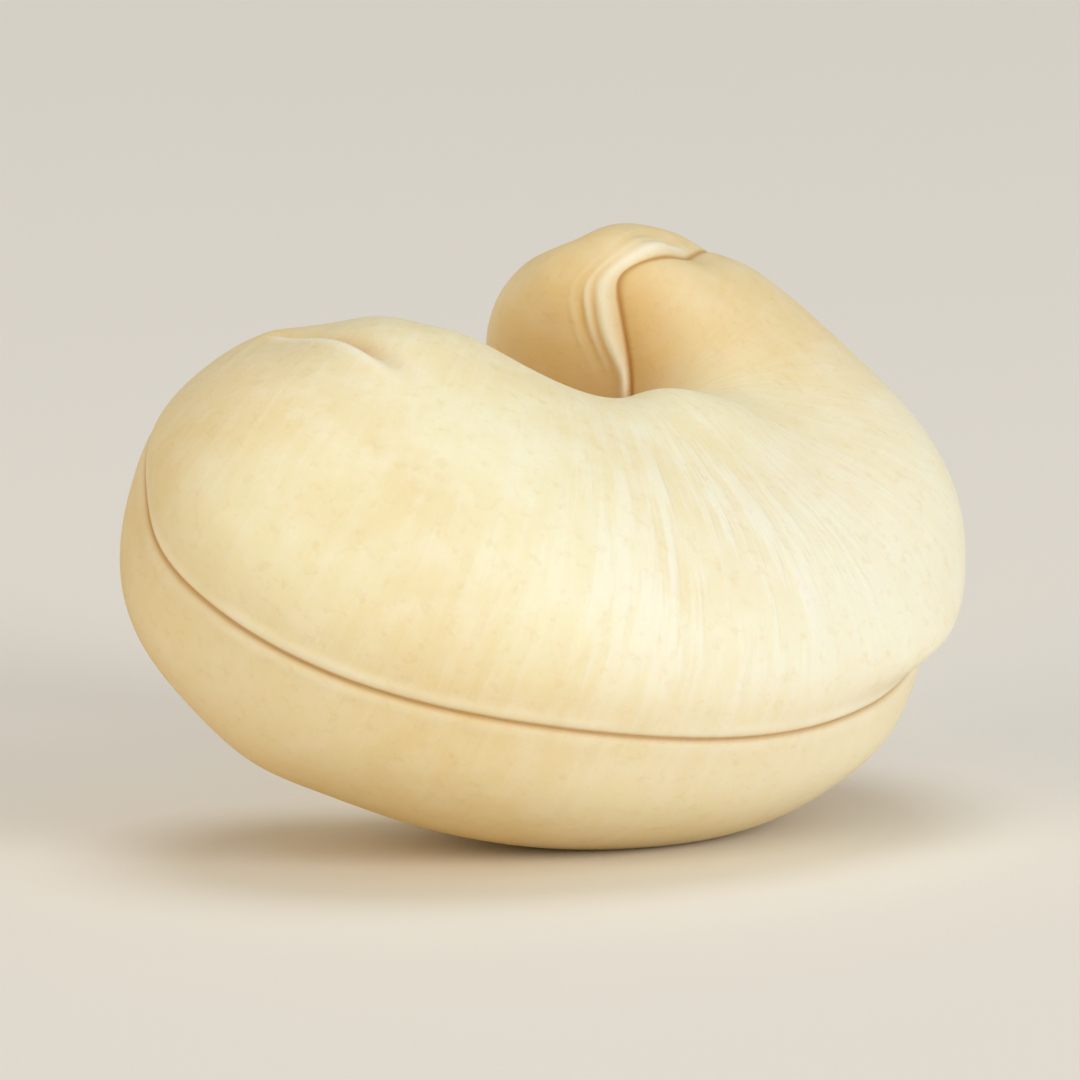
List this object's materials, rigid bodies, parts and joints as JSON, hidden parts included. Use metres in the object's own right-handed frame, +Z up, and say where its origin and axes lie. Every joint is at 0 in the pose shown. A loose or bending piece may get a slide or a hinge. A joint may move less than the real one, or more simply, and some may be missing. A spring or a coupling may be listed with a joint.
{
  "type": "cashew nut",
  "caption": "Curved shelled cashew kernel with a fat head, a slimmer hooked tail, a seam groove between its halves and a small flat spot to rest on.",
  "frame": {"origin": "ground level under the middle of the bounding box, with the nut resting on its flat spot", "axes": "+Z up from the ground. +X runs from the head's end towards the bend, the way the nut reads from the front. -Y is the front, where the outside of the curl and its seam face; the hooked tail is at the back, +Y"},
  "size_m": [0.0214, 0.02, 0.0145],
  "materials": {
    "kernel": "waxy matt cream flesh"
  },
  "bodies": {
    "root": {"cashew_kernel": "kernel"}
  },
  "joints": []
}
